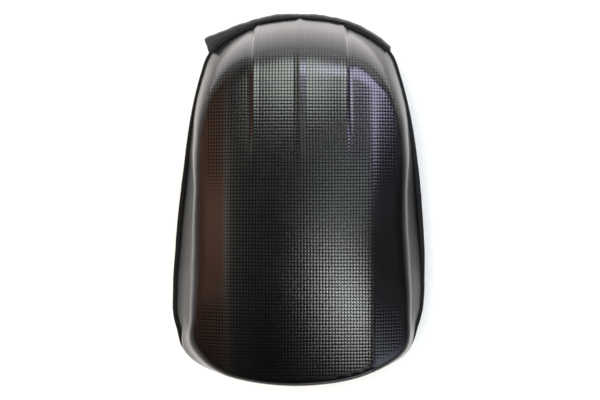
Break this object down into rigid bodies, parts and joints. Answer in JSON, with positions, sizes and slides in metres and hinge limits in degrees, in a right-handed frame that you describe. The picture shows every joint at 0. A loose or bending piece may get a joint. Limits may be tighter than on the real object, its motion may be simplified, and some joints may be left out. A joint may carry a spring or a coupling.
{
  "type": "motorcycle backpack",
  "caption": "Hard-shell motorcycle backpack with a moulded ribbed front, zipped edge, rain flap, padded back and shoulder straps, lying on its back.",
  "frame": {"origin": "under the middle of the bag, on the surface that it lies on", "axes": "+X across the bag to the right of the picture, +Y to its top end, +Z from the wearer's side up to the shell"},
  "size_m": [0.3265, 0.4627, 0.1654],
  "materials": {
    "shell": "satin black moulded skin with a fine embossed square grid",
    "binding": "black woven binding tape",
    "zip": "black zip tape and nylon coil",
    "cloth": "black coarse woven nylon",
    "padding": "black spacer mesh over foam",
    "webbing": "black ribbed webbing",
    "fitting": "black moulded plastic"
  },
  "bodies": {
    "root": {"front_shell": "shell", "rim_binding": "binding", "zip_band": "zip", "zip_slider": "fitting", "hinge_band": "cloth", "gusset": "cloth", "top_flap": "cloth", "back_panel": "padding", "strap_pad_left": "padding", "strap_pad_right": "padding", "strap_tab_left": "webbing", "strap_tab_right": "webbing", "strap_buckle_left": "fitting", "strap_buckle_right": "fitting", "strap_web_left": "webbing", "strap_web_right": "webbing"}
  },
  "joints": []
}
